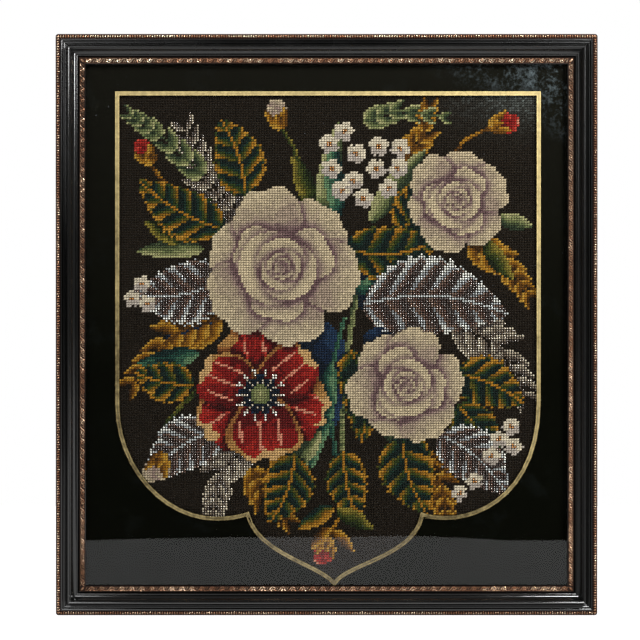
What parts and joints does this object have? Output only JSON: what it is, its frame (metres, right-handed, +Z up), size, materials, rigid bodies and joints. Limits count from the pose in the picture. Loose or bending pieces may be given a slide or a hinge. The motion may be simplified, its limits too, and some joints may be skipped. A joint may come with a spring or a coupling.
{
  "type": "needlework panel in a glazed frame",
  "caption": "Floral panel in wool stitches and glass beads, behind glass with a gold-lined shield window, in a black moulded frame with gilt edging.",
  "frame": {"origin": "middle of the bottom edge of the frame, at half its depth", "axes": "+Z up, +X to the right of someone who faces the panel, and the panel faces -Y"},
  "size_m": [0.438, 0.028, 0.47],
  "materials": {
    "ebonised_wood": "black stained and polished",
    "copper_gilt": "copper gilt, worn in the hollows",
    "glass": "clear polished",
    "black_paint": "black oil paint on the back of the glass",
    "gold_leaf": "gold leaf on the back of the glass",
    "needlework": "wool stitches and glass beads on canvas",
    "backboard": "bare softwood, aged"
  },
  "bodies": {
    "root": {"rail_bottom": "ebonised_wood", "rail_left": "ebonised_wood", "rail_top": "ebonised_wood", "rail_right": "ebonised_wood", "edging_bottom": "copper_gilt", "edging_left": "copper_gilt", "edging_top": "copper_gilt", "edging_right": "copper_gilt", "slip_bottom": "copper_gilt", "slip_left": "copper_gilt", "slip_top": "copper_gilt", "slip_right": "copper_gilt", "glass": "glass", "black_border": "black_paint", "gold_line": "gold_leaf", "needlework": "needlework", "backboard": "backboard"}
  },
  "joints": []
}
